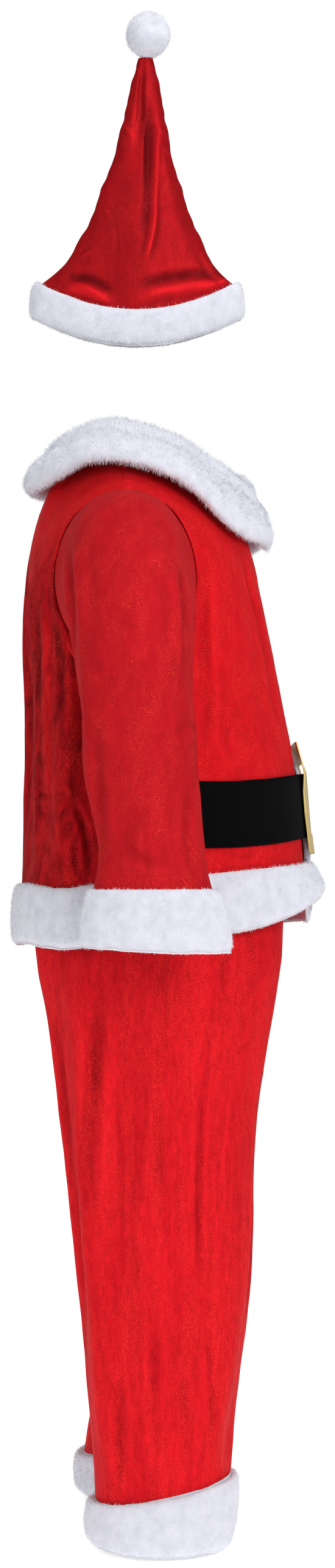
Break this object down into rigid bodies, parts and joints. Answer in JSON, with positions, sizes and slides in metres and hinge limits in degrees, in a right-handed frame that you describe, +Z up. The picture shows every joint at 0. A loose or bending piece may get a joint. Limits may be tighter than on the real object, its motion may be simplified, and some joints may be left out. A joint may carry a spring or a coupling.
{
  "type": "santa suit",
  "caption": "Hollow worn costume of red velvet with white plush trims: pointed hat above a collared jacket with belt and buckle, and trousers.",
  "frame": {"origin": "middle of the jacket's neck opening, level with the inner ends of the shoulder seams", "axes": "+Z up as worn; the front faces -Y; +X is the wearer's left, so the wearer's right side faces -X"},
  "size_m": [0.7756, 0.4212, 1.9997],
  "materials": {
    "red_velvet": "knitted pile velvet, soft and slightly shiny, brushed in all directions",
    "white_plush": "thick short plush, matte",
    "black_felt": "needle felt, matte",
    "gold_plastic": "thin plate with a satin gold coat"
  },
  "bodies": {
    "root": {"hat_panel_right": "red_velvet", "hat_panel_left": "red_velvet", "hat_band": "white_plush", "pom_pom": "white_plush", "collar": "white_plush", "jacket_back": "red_velvet", "jacket_front_right": "red_velvet", "jacket_front_left": "red_velvet", "front_strip": "white_plush", "hem_band": "white_plush", "sleeve_right": "red_velvet", "sleeve_left": "red_velvet", "cuff_right": "white_plush", "cuff_left": "white_plush", "belt": "black_felt", "buckle": "gold_plastic", "trouser_leg_right": "red_velvet", "trouser_leg_left": "red_velvet", "waistband": "red_velvet", "leg_cuff_right": "white_plush", "leg_cuff_left": "white_plush"}
  },
  "joints": []
}
